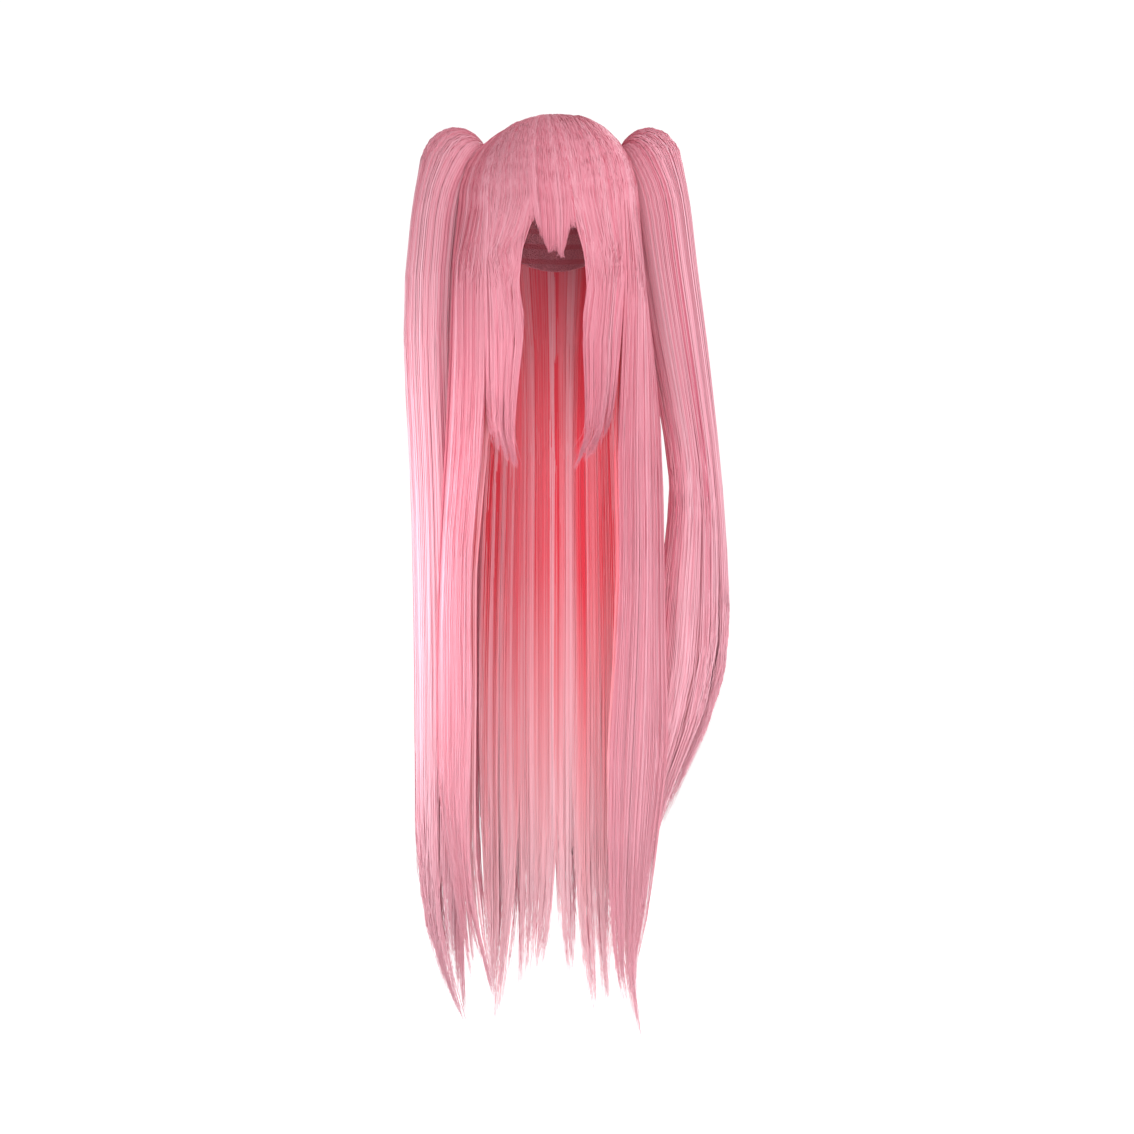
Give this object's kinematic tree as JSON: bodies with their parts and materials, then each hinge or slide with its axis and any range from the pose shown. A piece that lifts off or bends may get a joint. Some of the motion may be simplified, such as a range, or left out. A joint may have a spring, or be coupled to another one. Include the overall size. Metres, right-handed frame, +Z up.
{
  "type": "pigtail wig",
  "caption": "Very long straight wig with bangs, face-framing side locks, front tresses and clip-on tails high on both sides of the crown, worn on the head.",
  "frame": {"origin": "top of the hollow under the cap, where the crown of the head bears", "axes": "+X towards the right hand of someone who faces the wig, +Y to the back of the head, +Z up"},
  "size_m": [0.3716, 0.2207, 1.0413],
  "materials": {
    "hair": "soft sheen straight synthetic fibre",
    "net": "matte elastic net",
    "clip": "plain matte"
  },
  "bodies": {
    "root": {"wig_cap": "net", "bangs": "hair", "side_lock_left": "hair", "side_lock_right": "hair", "front_tress_left": "hair", "front_tress_right": "hair", "back_hair_left": "hair", "back_hair_right": "hair", "pigtail_left": "hair", "pigtail_right": "hair", "pigtail_clip_left": "clip", "pigtail_clip_right": "clip"}
  },
  "joints": []
}
